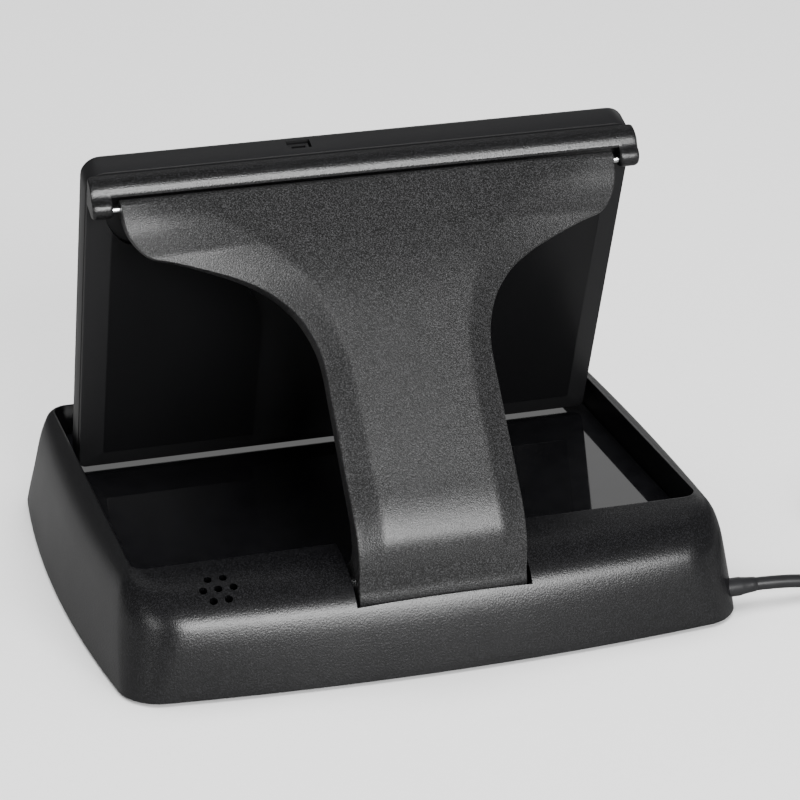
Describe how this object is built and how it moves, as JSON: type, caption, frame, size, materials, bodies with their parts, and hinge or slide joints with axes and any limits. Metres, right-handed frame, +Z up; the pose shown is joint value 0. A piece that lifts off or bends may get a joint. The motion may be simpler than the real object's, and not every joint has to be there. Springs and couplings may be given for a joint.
{
  "type": "folding video monitor",
  "caption": "Small flat screen pinned to a wide Y-shaped arm that is hinged at the rear of a shallow tray base; screen and arm fold together over the tray, with a thin cord at one side.",
  "frame": {"origin": "under the middle of the base, on the surface that the base stands on", "axes": "+X to the left for someone behind the object, along both hinges; +Y towards the rear, where the arm is hinged to the base; +Z up. The screen faces -Y."},
  "size_m": [0.2124, 0.1146, 0.0925],
  "materials": {
    "satin_shell": "fine-textured satin black moulding",
    "arm_shell": "coarse-textured charcoal moulding",
    "gloss_panel": "mirror-polished black",
    "bezel": "satin black",
    "screen_glass": "dark coated display glass",
    "steel": "bright ground steel",
    "screw_steel": "dark zinc-plated steel",
    "board": "solder-masked circuit board",
    "tin": "plain formed metal",
    "ribbon": "flat flexible cable",
    "foam": "matt black foam",
    "cord": "smooth black cable jacket",
    "key": "satin black key"
  },
  "bodies": {
    "base": {"base_top_shell": "satin_shell", "tray_floor": "gloss_panel", "base_bottom_cover": "satin_shell", "mounting_pad": "foam", "main_board": "board", "speaker": "foam", "cord_grommet": "cord", "arm_hinge_pin": "steel", "pin_clip_left": "screw_steel", "pin_clip_right": "screw_steel", "base_screw_1": "screw_steel", "base_screw_2": "screw_steel", "base_screw_3": "screw_steel", "base_screw_4": "screw_steel", "cord_lead": "cord", "cord_coil": "cord", "cord_tail": "cord", "plug_grip": "cord", "plug_sleeve": "tin", "plug_pins": "tin"},
    "arm": {"arm_cover": "arm_shell", "arm_inner_cover": "arm_shell", "arm_harness": "ribbon", "screen_pin_left": "steel", "screen_pin_right": "steel", "arm_screw_1": "screw_steel", "arm_screw_2": "screw_steel", "arm_screw_3": "screw_steel"},
    "screen": {"front_bezel": "bezel", "rear_housing": "gloss_panel", "display_glass": "screen_glass", "display_module": "tin", "driver_board": "board", "button_board": "board", "catch_insert": "bezel"},
    "button_1": {"front_button_1": "key"},
    "button_2": {"front_button_2": "key"},
    "button_3": {"front_button_3": "key"},
    "button_4": {"front_button_4": "key"}
  },
  "joints": [
    {"name": "arm_hinge", "type": "hinge", "parent": "base", "child": "arm", "pos_m": [0, 0.04525, 0.0166], "axis": [-1, 0, 0], "range_deg": [-5, 20]},
    {"name": "screen_hinge", "type": "hinge", "parent": "arm", "child": "screen", "pos_m": [0, 0.00395, 0.0839], "axis": [1, 0, 0], "range_deg": [-11.6, 46.1]},
    {"name": "button_press_1", "type": "slide", "parent": "screen", "child": "button_1", "axis": [0, 0.9385, -0.3453], "range_m": [0, 0.0005], "stiffness_N_per_m": 300, "springref_m": -0.0005},
    {"name": "button_press_2", "type": "slide", "parent": "screen", "child": "button_2", "axis": [0, 0.9385, -0.3453], "range_m": [0, 0.0005], "stiffness_N_per_m": 300, "springref_m": -0.0005},
    {"name": "button_press_3", "type": "slide", "parent": "screen", "child": "button_3", "axis": [0, 0.9385, -0.3453], "range_m": [0, 0.0005], "stiffness_N_per_m": 300, "springref_m": -0.0005},
    {"name": "button_press_4", "type": "slide", "parent": "screen", "child": "button_4", "axis": [0, 0.9385, -0.3453], "range_m": [0, 0.0005], "stiffness_N_per_m": 300, "springref_m": -0.0005}
  ],
  "couplings": [
    {"joint": "screen_hinge", "follows": "arm_hinge", "ratio": 2.3}
  ]
}
